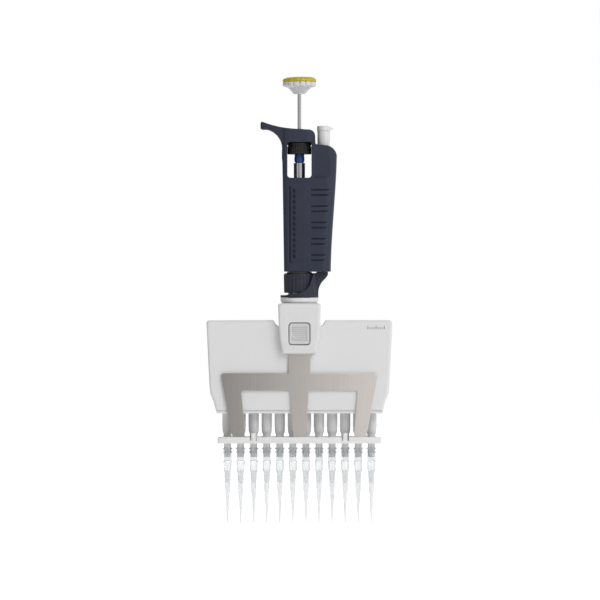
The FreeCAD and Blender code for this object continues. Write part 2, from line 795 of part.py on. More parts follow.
save(handle(), "handle")
save(rod_guide(), "rod_guide")
save(sleeve_bush(), "sleeve_bush")
save(volumeter_frame(), "volumeter_frame")
save(volumeter_lens(), "volumeter_lens")
save(drive_nut(), "drive_nut")
save(threaded_spigot(), "threaded_spigot")

save(thumbwheel(), "thumbwheel")
save(friction_collar(), "friction_collar")
save(drive_sleeve(), "drive_sleeve")
save(drive_screw(), "drive_screw")
for place, drum in enumerate(["units_drum", "tens_drum", "hundreds_drum"]):
    save(number_drum(place), drum)

save(button_cap(), "button_cap")
save(push_button(), "push_button")
save(operating_rod(), "operating_rod")
save(rod_foot(), "rod_foot")

save(ejector_button(), "ejector_button")
save(ejector_rod(), "ejector_rod")
save(ejector_arm(), "ejector_arm")
save(ejector_spring(), "ejector_spring")
save(connecting_nut(), "connecting_nut")

front_shell, back_shell = housing_halves()
save(front_shell, "housing_front")
save(back_shell, "housing_back")
save(housing_screws(), "housing_screws")
save(nozzle_plate(), "nozzle_plate")
save(nozzles(), "nozzles")
save(seal_retainer(), "seal_retainer")
save(piston_seals(), "piston_seals")
save(guide_rods(), "guide_rods")
save(neck(), "neck")
save(return_spring(), "return_spring")
save(blowout_spring(), "blowout_spring")
save(blowout_washer(), "blowout_washer")
save(piston_carrier(), "piston_carrier")
save(piston_stem(), "piston_stem")
save(pistons(), "pistons")

save(ejector_carriage(), "ejector_carriage")
save(carriage_collar(), "carriage_collar")
save(ejector_plate(), "ejector_plate")
save(stripper_bar(), "stripper_bar")
save(latch_pin(), "latch_pin")
save(latch_button(), "latch_button")
for channel, channel_x in enumerate(CHANNEL_X, start=1):
    save(tip(channel_x), "tip_%02d" % channel)
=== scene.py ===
import bmesh
import bpy
import mathutils
import math
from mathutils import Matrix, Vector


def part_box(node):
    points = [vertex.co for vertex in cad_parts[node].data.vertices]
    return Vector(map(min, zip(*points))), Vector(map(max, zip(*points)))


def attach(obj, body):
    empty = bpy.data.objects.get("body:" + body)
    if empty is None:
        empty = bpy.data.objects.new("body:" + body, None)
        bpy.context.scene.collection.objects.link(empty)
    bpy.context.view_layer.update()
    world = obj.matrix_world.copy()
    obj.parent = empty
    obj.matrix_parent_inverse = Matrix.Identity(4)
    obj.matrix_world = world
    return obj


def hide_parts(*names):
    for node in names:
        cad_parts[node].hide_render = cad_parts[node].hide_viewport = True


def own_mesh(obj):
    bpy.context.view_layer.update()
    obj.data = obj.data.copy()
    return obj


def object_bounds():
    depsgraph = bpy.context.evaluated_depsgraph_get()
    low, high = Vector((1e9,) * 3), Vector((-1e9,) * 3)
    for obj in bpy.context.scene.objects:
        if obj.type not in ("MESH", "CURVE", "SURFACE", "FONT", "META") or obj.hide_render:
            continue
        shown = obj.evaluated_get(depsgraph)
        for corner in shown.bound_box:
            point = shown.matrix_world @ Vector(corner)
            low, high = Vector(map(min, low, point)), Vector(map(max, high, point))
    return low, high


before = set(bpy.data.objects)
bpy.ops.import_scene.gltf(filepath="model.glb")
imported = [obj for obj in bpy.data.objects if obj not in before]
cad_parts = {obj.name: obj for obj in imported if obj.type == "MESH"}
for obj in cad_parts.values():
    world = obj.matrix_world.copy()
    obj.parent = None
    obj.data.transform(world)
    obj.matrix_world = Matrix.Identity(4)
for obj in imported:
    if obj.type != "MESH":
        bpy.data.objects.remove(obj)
cad_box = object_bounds()

# A twelve-channel hand pipette. The sections follow the instrument from its grip down to its tips, then
# its inside, and the studio comes last. Sizes on the instrument are written in millimetres, and MM turns
# them into metres. The studio's sizes are in metres.


# Grip. One hollow moulding in fine-textured navy polyamide, with the finger-rest hook, the dial window,
# paired grip grooves and a long recessed strip. A mould leaves no sharp edge, and handling makes it paler.
MM = 0.001
NAVY = (0.027, 0.033, 0.055)
NAVY_WORN = (0.075, 0.076, 0.105)
# The near-black that hollows and grooves are darkened towards: painted shade.
HOLLOW_PAINTED_SHADE = (0.004, 0.004, 0.006)
GRAIN_DEPTH = 0.04
GRIP_SKIN = 0.33
GRIP_ROUNDS = 4
HOOK_START = 262.5
HOOK_ROUNDS = 16


def link(node_tree, source, target):
    node_tree.links.new(source, target)


def moulded_plastic(name, colour, worn, roughness, mottle=55.0, edge=0.0, hollow=0.0, specular=0.5):
    """Moulded plastic: a spark-eroded grain, a faint mottle in colour and gloss, edges paler with handling
    and hollows darkened with painted shade."""
    finish = bpy.data.materials.new(name)
    finish.use_nodes = True
    tree = finish.node_tree
    plastic = tree.nodes["Principled BSDF"]
    plastic.inputs["Specular IOR Level"].default_value = specular
    place = tree.nodes.new("ShaderNodeTexCoord").outputs["Object"]

    def noise(scale, detail):
        made = tree.nodes.new("ShaderNodeTexNoise")
        made.inputs["Scale"].default_value = scale
        made.inputs["Detail"].default_value = detail
        link(tree, place, made.inputs["Vector"])
        return made.outputs["Fac"]

    def spread(source, low, high, low_value, high_value):
        made = tree.nodes.new("ShaderNodeMapRange")
        made.inputs["From Min"].default_value = low
        made.inputs["From Max"].default_value = high
        made.inputs["To Min"].default_value = low_value
        made.inputs["To Max"].default_value = high_value
        link(tree, source, made.inputs["Value"])
        return made.outputs["Result"]

    cloud = noise(mottle, 4.0)
    tint = tree.nodes.new("ShaderNodeMix")
    tint.data_type = "RGBA"
    tint.inputs[6].default_value = (*colour, 1.0)
    tint.inputs[7].default_value = (*worn, 1.0)
    amount = spread(cloud, 0.3, 0.75, 0.0, 0.16)
    colour_out = tint.outputs[2]
    if edge:
        bend = tree.nodes.new("ShaderNodeNewGeometry").outputs["Pointiness"]
        total = tree.nodes.new("ShaderNodeMath")
        total.use_clamp = True
        link(tree, amount, total.inputs[0])
        link(tree, spread(bend, 0.52, 0.62, 0.0, edge), total.inputs[1])
        amount = total.outputs[0]
        # Painted shade: where pointiness is low, in hollows and grooves, the colour is darkened towards
        # near-black.
        painted_hollow_shade = tree.nodes.new("ShaderNodeMix")
        painted_hollow_shade.data_type = "RGBA"
        painted_hollow_shade.inputs[7].default_value = (*HOLLOW_PAINTED_SHADE, 1.0)
        link(tree, spread(bend, 0.42, 0.492, hollow, 0.0), painted_hollow_shade.inputs[0])
        link(tree, colour_out, painted_hollow_shade.inputs[6])
        colour_out = painted_hollow_shade.outputs[2]
    link(tree, amount, tint.inputs[0])
    link(tree, colour_out, plastic.inputs["Base Color"])
    link(tree, spread(cloud, 0.3, 0.75, roughness - 0.05, roughness + 0.06), plastic.inputs["Roughness"])
    bump = tree.nodes.new("ShaderNodeBump")
    bump.inputs["Strength"].default_value = 0.22
    bump.inputs["Distance"].default_value = GRAIN_DEPTH * MM
    link(tree, noise(1400.0, 3.0), bump.inputs["Height"])
    link(tree, bump.outputs["Normal"], plastic.inputs["Normal"])
    return finish


def new_piece(name, mesh, finish, slot, body, *nodes):
    """Puts a mesh in the scene, gives it its finish and body, and stands it in for its designed solids."""
    piece = bpy.data.objects.new(name, mesh)
    bpy.context.scene.collection.objects.link(piece)
    if finish:
        mesh.materials.clear()
        mesh.materials.append(finish)
    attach(piece, body)
    if nodes:
        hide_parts(*nodes)
    return piece


def apply_modifiers(piece):
    """Fixes a piece's modifiers into its mesh and smooths the shading."""
    graph = bpy.context.evaluated_depsgraph_get()
    shaped = piece.evaluated_get(graph)
    finished = bpy.data.meshes.new_from_object(shaped, preserve_all_data_layers=True, depsgraph=graph)
    piece.modifiers.clear()
    piece.data = finished
    piece.data.polygons.foreach_set("use_smooth", [True] * len(finished.polygons))
    return piece


def designed_shape(node):
    """A welded copy of a designed solid's mesh."""
    mesh = bpy.data.meshes.new(node + "_copy")
    shape = bmesh.new()
    shape.from_mesh(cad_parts[node].data)
    bmesh.ops.remove_doubles(shape, verts=shape.verts, dist=0.002 * MM)
    return shape, mesh


def moulding(name, node, finish, slot, body, skin, rounds):
    """A moulding with eased edges: the designed solid skinned at `skin` mm and smoothed `rounds` times."""
    shape, mesh = designed_shape(node)
    shape.to_mesh(mesh)
    shape.free()
    piece = new_piece(name, mesh, finish, slot, body, node)
    skinned = piece.modifiers.new("skin", "REMESH")
    skinned.mode = "VOXEL"
    skinned.voxel_size = skin * MM
    softened = piece.modifiers.new("softened", "SMOOTH")
    softened.factor = 0.5
    softened.iterations = rounds
    return apply_modifiers(piece)


# hollow=0.85 darkens the grip's grooves and hollows: painted shade.
navy_grip = moulded_plastic("navy_grip_plastic", NAVY, NAVY_WORN, 0.46,
                            edge=0.5, hollow=0.85, specular=0.28)
grip = moulding("grip", "handle", navy_grip, "handle_plastic", "handle", GRIP_SKIN, GRIP_ROUNDS)

# The finger rest is rounded more than the rest of the grip: it gets a second, softer pass.
hook_zone = grip.vertex_groups.new(name="finger_rest")
hook_zone.add([v.index for v in grip.data.vertices if v.co.z > HOOK_START * MM], 1.0, "REPLACE")
rounding = grip.modifiers.new("finger_rest", "SMOOTH")
rounding.factor = 0.5
rounding.iterations = HOOK_ROUNDS
rounding.vertex_group = "finger_rest"
apply_modifiers(grip)
grip.vertex_groups.clear()


# Thumbwheel and the blue friction collar under it. Both are turned shapes moulded in plastic: a near-black
# wheel with fine flutes for the fingertips, and a smooth collar that grips the bright drive sleeve.
WHEEL_BLACK = (0.014, 0.014, 0.012)
COLLAR_BLUE = (0.016, 0.058, 0.23)
WHEEL_FLUTES = 32
FLUTE_DEPTH = 0.32
FLUTED_TO = 5.6


def eased(points, radius, steps=4, closed=True):
    """The outline with each corner swept round at about this radius."""
    out = []
    count = len(points)
    for i, here in enumerate(points):
        if not closed and i in (0, count - 1):
            out.append(here)
            continue
        before, after = points[i - 1], points[(i + 1) % count]
        back = math.dist(here, before)
        ahead = math.dist(here, after)
        cut = min(radius, 0.45 * back, 0.45 * ahead)
        start = [here[k] + (before[k] - here[k]) * cut / back for k in (0, 1)]
        end = [here[k] + (after[k] - here[k]) * cut / ahead for k in (0, 1)]
        for step in range(steps + 1):
            t = step / steps
            share = ((1 - t) ** 2, 2 * t * (1 - t), t * t)
            out.append(tuple(share[0] * start[k] + share[1] * here[k] + share[2] * end[k] for k in (0, 1)))
    return out


def turned_mesh(name, points, base=0.0, count=96, closed=True, flute=None):
    """An outline of radius and height in mm, turned about the upright axis and set down at `base` metres.
    `flute` takes radius, height and angle and gives the radius there."""
    shape = bmesh.new()
    rings = []
    for i in range(count):
        angle = 2 * math.pi * i / count
        ring = []
        for radius, height in points:
            r = flute(radius, height, angle) if flute else radius
            across, deep = r * MM * math.cos(angle), r * MM * math.sin(angle)
            ring.append(shape.verts.new((across, deep, height * MM + base)))
        rings.append(ring)
    last = len(points) if closed else len(points) - 1
    for i in range(count):
        here, there = rings[i], rings[(i + 1) % count]
        for k in range(last):
            n = (k + 1) % len(points)
            shape.faces.new((here[k], there[k], there[n], here[n]))
    bmesh.ops.remove_doubles(shape, verts=shape.verts, dist=0.0005 * MM)
    bmesh.ops.recalc_face_normals(shape, faces=shape.faces)
    mesh = bpy.data.meshes.new(name)
    shape.to_mesh(mesh)
    shape.free()
    mesh.polygons.foreach_set("use_smooth", [True] * len(mesh.polygons))
    return mesh


def wheel_flute(radius, height, angle):
    if radius > 7.0 and 0.1 < height < FLUTED_TO:
        return radius - FLUTE_DEPTH * (0.5 + 0.5 * math.cos(WHEEL_FLUTES * angle)) ** 2
    return radius


wheel_outline = [
    (2.5, 0.0),
    (7.9, 0.0),
    (8.26, 0.3),
    (8.26, 5.4),
    (7.8, 5.7),
    (7.8, 6.1),
    (8.26, 6.4),
    (8.26, 7.7),
    (7.9, 8.0),
    (1.6, 8.0),
    (1.6, 5.1),
    (2.5, 5.1),
]
wheel_black = moulded_plastic("wheel_plastic", WHEEL_BLACK, (0.035, 0.035, 0.030), 0.42, specular=0.3)
wheel_mesh = turned_mesh("thumbwheel_fluted", eased(wheel_outline, 0.25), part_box("thumbwheel")[0].z,
                         12 * WHEEL_FLUTES, True, wheel_flute)
new_piece("thumbwheel_fluted", wheel_mesh, wheel_black, "wheel_plastic", "dial", "thumbwheel")

collar_outline = [(2.45, 0.0), (2.6, 0.0), (3.5, 0.9), (3.5, 4.0), (3.3, 4.4), (3.3, 5.9), (2.45, 5.9)]
collar_blue = moulded_plastic("collar_plastic", COLLAR_BLUE, (0.05, 0.12, 0.36), 0.24)
collar_mesh = turned_mesh("friction_collar_round", eased(collar_outline, 0.8, 6),
                          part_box("friction_collar")[0].z)
new_piece("friction_collar_round", collar_mesh, collar_blue, "blue_plastic", "dial", "friction_collar")


# Strip studs. A row of small dark domes in soft plastic, pressed into the grip's strip to tell the fingers
# where they are without looking.
STUD_COUNT = 13
STUD_X = -3.3
STUD_LOW = 183.5
STUD_STEP = 3.75
STUD_LENGTHEN = 1.25
STUD_SINK = 0.45
stud_outline = [(0.0, 0.35), (0.55, 0.3), (0.95, 0.12), (1.25, 0.0), (1.25, -0.5), (0.0, -0.5)]
stud_dark = moulded_plastic("stud_plastic", (0.009, 0.012, 0.022), (0.02, 0.023, 0.035), 0.5, specular=0.25)
one_stud = turned_mesh("one_stud", stud_outline, 0.0, 32, False)
strip_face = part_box("handle")[0].y
stud_row = bmesh.new()
for place in range(STUD_COUNT):
    first = len(stud_row.verts)
    stud_row.from_mesh(one_stud)
    stud_row.verts.ensure_lookup_table()
    for vert in stud_row.verts[first:]:
        x, y, z = vert.co
        vert.co.x = x + STUD_X * MM
        vert.co.y = strip_face + STUD_SINK * MM - z
        vert.co.z = y * STUD_LENGTHEN + (STUD_LOW + place * STUD_STEP) * MM
stud_mesh = bpy.data.meshes.new("grip_studs")
bmesh.ops.recalc_face_normals(stud_row, faces=stud_row.faces)
stud_row.to_mesh(stud_mesh)
stud_row.free()
new_piece("grip_studs", stud_mesh, stud_dark, "dark_plastic", "handle")


# Bright steel: the drive sleeve in the window, the operating rod, and the rods, stem and screws inside.
# All are ground bar stock, so the finish runs round them in very fine lines.
STEEL_BRIGHT = (0.74, 0.74, 0.75)
STEEL_SHADE = (0.60, 0.60, 0.62)
ROUND_LINES = (300.0, 300.0, 9000.0)
LINE_DEPTH = 0.003


def dress(finish, *nodes):
    """Gives designed solids that stay on show a finish."""
    for node in nodes:
        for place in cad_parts[node].material_slots:
            place.material = finish


def metal(name, colour, shade, roughness, stretch, line_depth=LINE_DEPTH, streak=0.08):
    """Bare metal whose fine lines, `line_depth` mm deep, are long where `stretch` is small."""
    finish = bpy.data.materials.new(name)
    finish.use_nodes = True
    tree = finish.node_tree
    bare = tree.nodes["Principled BSDF"]
    bare.inputs["Metallic"].default_value = 1.0
    place = tree.nodes.new("ShaderNodeMapping")
    place.inputs["Scale"].default_value = stretch
    link(tree, tree.nodes.new("ShaderNodeTexCoord").outputs["Object"], place.inputs["Vector"])
    lines = tree.nodes.new("ShaderNodeTexNoise")
    lines.inputs["Scale"].default_value = 1.0
    lines.inputs["Detail"].default_value = 5.0
    link(tree, place.outputs["Vector"], lines.inputs["Vector"])
    tint = tree.nodes.new("ShaderNodeMix")
    tint.data_type = "RGBA"
    tint.inputs[6].default_value = (*colour, 1.0)
    tint.inputs[7].default_value = (*shade, 1.0)
    link(tree, lines.outputs["Fac"], tint.inputs[0])
    link(tree, tint.outputs[2], bare.inputs["Base Color"])
    gloss = tree.nodes.new("ShaderNodeMapRange")
    gloss.inputs["To Min"].default_value = roughness - streak / 2
    gloss.inputs["To Max"].default_value = roughness + streak / 2
    link(tree, lines.outputs["Fac"], gloss.inputs["Value"])
    link(tree, gloss.outputs["Result"], bare.inputs["Roughness"])
    bump = tree.nodes.new("ShaderNodeBump")
    bump.inputs["Strength"].default_value = 0.25
    bump.inputs["Distance"].default_value = line_depth * MM
    link(tree, lines.outputs["Fac"], bump.inputs["Height"])
    link(tree, bump.outputs["Normal"], bare.inputs["Normal"])
    return finish


ground_steel = metal("ground_steel", STEEL_BRIGHT, STEEL_SHADE, 0.16, ROUND_LINES)
dress(ground_steel, "drive_sleeve", "operating_rod", "pistons", "latch_pin", "housing_screws")
dress(ground_steel, "piston_stem", "guide_rods", "neck")


# Ejector rod. Ground steel bar with its corners broken by a chamfer, pressed into the arm below and into
# the ejector button above, so that the three move as one.
ROD_END = 169.8
ROD_RADIUS = 2.0
ROD_CHAMFER = 0.3
ejector_low, ejector_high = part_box("ejector_rod")
rod_top = ejector_high.z / MM
rod_outline = [
    (0.0, ROD_END),
    (ROD_RADIUS - ROD_CHAMFER, ROD_END),
    (ROD_RADIUS, ROD_END + ROD_CHAMFER),
    (ROD_RADIUS, rod_top - ROD_CHAMFER),
    (ROD_RADIUS - ROD_CHAMFER, rod_top),
    (0.0, rod_top),
]
rod_mesh = turned_mesh("ejector_rod_ground", rod_outline, 0.0, 48, False)
for vert in rod_mesh.vertices:
    vert.co.x += (ejector_low.x + ejector_high.x) / 2
rod_mesh.set_sharp_from_angle(angle=math.radians(30))
new_piece("ejector_rod_ground", rod_mesh, ground_steel, "stainless", "ejector", "ejector_rod")


# Push button and its cap. The button is a natural white moulding: a rim of sixteen lobes over a ribbed
# funnel that grips the rod. The mustard-yellow cap plugs into it and shows the volume range by colour.
LOBES = 16
FUNNEL_RIBS = 20
FUNNEL_HIGH = 5.2
FUNNEL_STEM = 2.2
RIB_DEPTH = 0.75
RIM_INSIDE = 8.2
NOTCH_DEPTH = 1.1
CAP_RIM_INSIDE = 10.4
CAP_NOTCH_DEPTH = 0.35
CAP_YELLOW = (0.52, 0.42, 0.012)
BUTTON_WHITE = (0.66, 0.65, 0.67)


def from_notch(angle):
    """How far an angle is from the middle of the nearest notch between lobes, as a share of a lobe."""
    return abs((angle * LOBES / (2 * math.pi) + 0.5) % 1.0 - 0.5)


def button_flute(radius, height, angle):
    if radius > RIM_INSIDE:
        depth = NOTCH_DEPTH * min(1.0, (radius - RIM_INSIDE) / 2.0)
        return radius - depth * math.exp(-((from_notch(angle) / 0.13) ** 2))
    if FUNNEL_STEM < radius and height < FUNNEL_HIGH:
        depth = RIB_DEPTH * min(1.0, height / 0.6)
        return radius - depth * (0.5 - 0.5 * math.cos(FUNNEL_RIBS * angle)) ** 1.5
    return radius


def cap_flute(radius, height, angle):
    if radius < CAP_RIM_INSIDE:
        return radius
    depth = CAP_NOTCH_DEPTH * (radius - CAP_RIM_INSIDE) / 1.3
    return radius - depth * math.exp(-((from_notch(angle) / 0.12) ** 2))


button_outline = [
    (1.28, 0.0),
    (4.1, 0.0),
    (4.6, 0.9),
    (7.9, 4.4),
    (10.6, 5.0),
    (11.5, 5.6),
    (11.5, 8.35),
    (7.05, 8.35),
    (7.05, 6.9),
    (0.0, 6.9),
]
button_under = [(0.0, 5.55), (1.28, 5.55)]
button_points = eased(button_outline + button_under, 0.45)
button_white = moulded_plastic("button_plastic", BUTTON_WHITE, (0.60, 0.60, 0.62), 0.36)
button_mesh = turned_mesh("push_button_lobed", button_points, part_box("push_button")[0].z,
                          24 * LOBES, True, button_flute)
new_piece("push_button_lobed", button_mesh, button_white, "white_plastic", "plunger", "push_button")

RIM_STEPS = 10
cap_points = eased([(0.0, 0.05), (6.85, 0.05), (6.85, 1.62), (11.6, 1.62), (11.7, 2.1)], 0.3, 4, False)
for step in range(1, RIM_STEPS + 1):
    sweep = math.pi / 2 * step / RIM_STEPS
    cap_points.append((8.1 + 3.6 * math.cos(sweep), 2.1 + 2.5 * math.sin(sweep)))
cap_points += [(6.0, 4.72), (3.0, 4.81), (0.0, 4.84)]
cap_yellow = moulded_plastic("cap_plastic", CAP_YELLOW, (0.58, 0.49, 0.04), 0.38)
cap_mesh = turned_mesh("button_cap_domed", cap_points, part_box("button_cap")[0].z,
                       24 * LOBES, False, cap_flute)
new_piece("button_cap_domed", cap_mesh, cap_yellow, "yellow_plastic", "plunger", "button_cap")


# Ejector button. A light grey moulding: a round shaft in the grip's shoulder under a head with a lip
# that the thumb presses. A steel rod goes down from it to the arm.
BUTTON_GREY = (0.74, 0.74, 0.74)
button_grey = moulded_plastic("ejector_button_plastic", BUTTON_GREY, (0.63, 0.63, 0.64), 0.42)
moulding("ejector_button_moulding", "ejector_button", button_grey, "light_grey_plastic", "ejector", 0.2, 4)


# Connecting nut and ejector arm. Dark mouldings under the grip: the fluted nut holds the head on, and the
# arm wraps round it to carry the ejector's push from the rod to the ring above the white collar.
NUT_FLUTES = 24
NUT_FLUTED = (1.2, 12.6)
DARK_NAVY = (0.023, 0.028, 0.042)


def nut_flute(radius, height, angle):
    if radius > 9.8 and NUT_FLUTED[0] < height < NUT_FLUTED[1]:
        fade = min(1.0, (height - NUT_FLUTED[0]) / 0.8, (NUT_FLUTED[1] - height) / 0.8)
        return radius - 0.42 * fade * (0.5 + 0.5 * math.cos(NUT_FLUTES * angle)) ** 4
    return radius


nut_outline = [
    (8.05, 0.0),
    (10.2, 0.0),
    (10.6, 0.6),
    (10.62, 1.4),
    (10.66, 2.2),
    (10.85, 11.2),
    (10.87, 12.2),
    (10.85, 12.7),
    (10.0, 13.65),
    (8.75, 13.65),
    (8.75, 2.8),
    (8.05, 2.8),
]
# hollow=0.7 darkens the nut's flutes and hollows: painted shade.
dark_navy = moulded_plastic("nut_plastic", DARK_NAVY, NAVY_WORN, 0.44, edge=0.25, hollow=0.7, specular=0.3)
nut_mesh = turned_mesh("connecting_nut_fluted", eased(nut_outline, 0.4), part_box("connecting_nut")[0].z,
                       16 * NUT_FLUTES, True, nut_flute)
new_piece("connecting_nut_fluted", nut_mesh, dark_navy, "dark_plastic", "nut", "connecting_nut")
moulding("ejector_arm_moulding", "ejector_arm", dark_navy, "dark_plastic", "ejector", 0.22, 5)


# Ejector carriage with its white collar. The light grey block straddles the head and slides on the neck;
# the turned collar on top of it takes the push of the arm's ring.
BLOCK_GREY = (0.76, 0.76, 0.76)
COLLAR_WHITE = (0.80, 0.80, 0.79)
ring_outline = [
    (8.15, 0.0),
    (11.6, 0.0),
    (12.1, 0.45),
    (12.75, 0.7),
    (13.0, 1.3),
    (13.0, 3.55),
    (8.15, 3.55),
]
block_grey = moulded_plastic("carriage_plastic", BLOCK_GREY, (0.63, 0.63, 0.64), 0.45)
collar_white = moulded_plastic("collar_white_plastic", COLLAR_WHITE, (0.70, 0.70, 0.70), 0.40)
moulding("carriage_moulding", "ejector_carriage", block_grey, "light_grey_plastic", "carriage", 0.3, 4)
ring_mesh = turned_mesh("carriage_collar_turned", eased(ring_outline, 0.4),
                        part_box("carriage_collar")[0].z, 160)
new_piece("carriage_collar_turned", ring_mesh, collar_white, "white_plastic", "carriage", "carriage_collar")


# Latch button. A square grey button with a raised rim round seven cross ribs, hung on a pin along its
# lower edge, which frees the head when it is pressed.
LATCH_GREY = (0.62, 0.62, 0.62)
LATCH_RUBBED = (0.90, 0.90, 0.90)
LATCH_PLAY = 0.965
# hollow=0.8 darkens the gap round the latch and between its ribs: painted shade.
latch_grey = moulded_plastic("latch_plastic", LATCH_GREY, LATCH_RUBBED, 0.42, edge=0.8, hollow=0.8)
latch = moulding("latch_moulding", "latch_button", latch_grey, "light_grey_plastic", "latch", 0.14, 3)
latch_low, latch_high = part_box("latch_button")
latch_middle = (latch_low.z + latch_high.z) / 2
for vert in latch.data.vertices:
    vert.co.x *= LATCH_PLAY
    vert.co.z = latch_middle + (vert.co.z - latch_middle) * LATCH_PLAY


# Head housing. Two light grey shells, screwed together from behind and parted along the middle, with a
# soft radius round the outside. Each screw's head lies in a round recess in the back shell, and the lower
# strip closes the shells and centres the nozzles.
SHELL_GREY = (0.78, 0.78, 0.782)
SHELL_WORN = (0.70, 0.70, 0.71)
NOTCH_SHARE = 0.25
SHELL_WALL = 1.5
SHELL_ROUND = 1.6
SHELL_CORNER = 2.6
ROUND_STEPS = 7
PARTING_BREAK = 0.3
SHELL_NOTCH = [(14.6, 135.7), (16.3, 136.7)]
SHELL_TOP = [(17.9, 139.7), (63.9, 139.7), (62.8, 115.6)]
SHELL_LOWER_SIDE = [(61.8, 96.3), (61.4, 90.0), (58.9, 83.7), (57.3, 77.7)]
SCREW_SPOTS = [(38.0, 129.5), (57.2, 106.0), (56.4, 86.5)]
RECESS_RADIUS = 2.9
RECESS_MIDDLE = 10.3
RECESS_LENGTH = 4.0


def inset(corners, distances):
    """The outline with each side moved inwards by its own distance. The corners run clockwise."""
    lines = []
    for here, there, distance in zip(corners, corners[1:] + corners[:1], distances):
        length = math.dist(here, there)
        across, up = (there[1] - here[1]) / length, -(there[0] - here[0]) / length
        lines.append((across, up, across * here[0] + up * here[1] + distance))
    moved = []
    for (a, b, c), (d, e, f) in zip(lines[-1:] + lines[:-1], lines):
        scale = a * e - b * d
        moved.append(((c * e - b * f) / scale, (a * f - c * d) / scale))
    return moved


def shell_mesh(name, side):
    """One shell's outer skin: a shallow tray with a quarter-round rim, open below and along the parting."""
    right = SHELL_NOTCH + eased(SHELL_TOP, SHELL_CORNER, 5, False) + SHELL_LOWER_SIDE
    corners = right + [(-x, z) for x, z in reversed(right)]
    bottom = len(right) - 1
    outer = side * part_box("housing_back")[1].y / MM
    levels = [(PARTING_BREAK, side * 0.02), (0.0, side * 0.35)]
    for step in range(ROUND_STEPS + 1):
        sweep = math.pi / 2 * step / ROUND_STEPS
        depth = outer - side * SHELL_ROUND * (1 - math.sin(sweep))
        levels.append((SHELL_ROUND * (1 - math.cos(sweep)), depth))
    shape = bmesh.new()
    rings = []
    for distance, depth in levels:
        distances = [distance] * len(corners)
        distances[bottom] = 0.0
        for notch_side in (0, 1, -3, -2, -1):
            distances[notch_side] = distance * NOTCH_SHARE
        rings.append([shape.verts.new((x * MM, depth * MM, z * MM)) for x, z in inset(corners, distances)])
    for near, far in zip(rings, rings[1:]):
        for i in range(len(corners)):
            n = (i + 1) % len(corners)
            if i != bottom:
                shape.faces.new((near[i], near[n], far[n], far[i]))
    shape.faces.new(rings[-1])
    bmesh.ops.recalc_face_normals(shape, faces=shape.faces)
    if sum(face.normal.y * face.calc_area() for face in shape.faces) * side < 0:
        bmesh.ops.reverse_faces(shape, faces=shape.faces)
    mesh = bpy.data.meshes.new(name)
    shape.to_mesh(mesh)
    shape.free()
    return mesh


def screw_recesses():
    """Six short round bars that stand where the screws go in, to be cut out of the back shell."""
    shape = bmesh.new()
    for x, z in [(side * x, z) for x, z in SCREW_SPOTS for side in (-1, 1)]:
        place = mathutils.Matrix.Translation((x * MM, RECESS_MIDDLE * MM, z * MM))
        place = place @ mathutils.Matrix.Rotation(math.pi / 2, 4, "X")
        bmesh.ops.create_cone(shape, cap_ends=True, segments=48, radius1=RECESS_RADIUS * MM,
                              radius2=RECESS_RADIUS * MM, depth=RECESS_LENGTH * MM, matrix=place)
    mesh = bpy.data.meshes.new("screw_recesses")
    shape.to_mesh(mesh)
    shape.free()
    bars = bpy.data.objects.new("screw_recesses", mesh)
    bpy.context.scene.collection.objects.link(bars)
    return bars


shell_grey = moulded_plastic("housing_plastic", SHELL_GREY, SHELL_WORN, 0.42, mottle=16.0)
recesses = screw_recesses()
for side, node in ((-1, "housing_front"), (1, "housing_back")):
    name = node + "_shell"
    shell = new_piece(name, shell_mesh(name, side), shell_grey, "light_grey_plastic", "head", node)
    wall = shell.modifiers.new("wall", "SOLIDIFY")
    wall.thickness = SHELL_WALL * MM
    wall.offset = -1.0
    wall.use_even_offset = True
    if node == "housing_back":
        recess = shell.modifiers.new("recess", "BOOLEAN")
        recess.operation = "DIFFERENCE"
        recess.solver = "EXACT"
        recess.object = recesses
    apply_modifiers(shell)
    shell.data.set_sharp_from_angle(angle=math.radians(30))
    shading = shell.modifiers.new("shading", "WEIGHTED_NORMAL")
    shading.keep_sharp = True
    apply_modifiers(shell)
bpy.data.objects.remove(recesses)
dress(shell_grey, "nozzle_plate")


# Range marks. A short row of printed bars near the shell's upper corner, in grey ink a few hundredths of a
# millimetre thick, taller at each end like the marks of a scale.
MARK_COUNT = 9
MARK_X = 47.0
MARK_STEP = 1.4
MARK_LOW = 133.6
MARK_HALF_WIDTH = 0.22
MARK_TALL = 2.3
MARK_SHORT = 1.4
INK_LEVELS = (0.05, -0.02)
ink_grey = moulded_plastic("ink", (0.10, 0.10, 0.105), (0.16, 0.16, 0.165), 0.6)
housing_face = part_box("housing_front")[0].y
marks = bmesh.new()
for place in range(MARK_COUNT):
    tall = MARK_TALL if place % 4 == 0 else MARK_SHORT
    wide = MARK_HALF_WIDTH
    bar_outline = eased([(-wide, 0.0), (wide, 0.0), (wide, tall), (-wide, tall)], 0.16, 3)
    faces = []
    for lift in INK_LEVELS:
        ring = []
        for x, z in bar_outline:
            spot = ((MARK_X + place * MARK_STEP + x) * MM, housing_face + lift * MM, (MARK_LOW + z) * MM)
            ring.append(marks.verts.new(spot))
        faces.append(ring)
    back, front = faces
    marks.faces.new(front)
    marks.faces.new(reversed(back))
    for i in range(len(front)):
        n = (i + 1) % len(front)
        marks.faces.new((front[n], front[i], back[i], back[n]))
bmesh.ops.recalc_face_normals(marks, faces=marks.faces)
marks_mesh = bpy.data.meshes.new("range_marks")
marks.to_mesh(marks_mesh)
marks.free()
new_piece("range_marks", marks_mesh, ink_grey, "dark_plastic", "head")


# Ejector plate. Stainless sheet, cut to a stem, a cross bar and three prongs, brushed along its height and
# hung in the carriage's slot. Its edges are broken by tumbling.
# The two ends of the plate's painted reflection: shaded at its left edge, lit at its right.
PLATE_SHADED_SIDE = (0.31, 0.297, 0.286)
PLATE_LIT_SIDE = (0.97, 0.91, 0.86)
PLATE_LINES = (5200.0, 5200.0, 26.0)
PLATE_LINE_DEPTH = 0.012
LINE_SHARE = 0.30


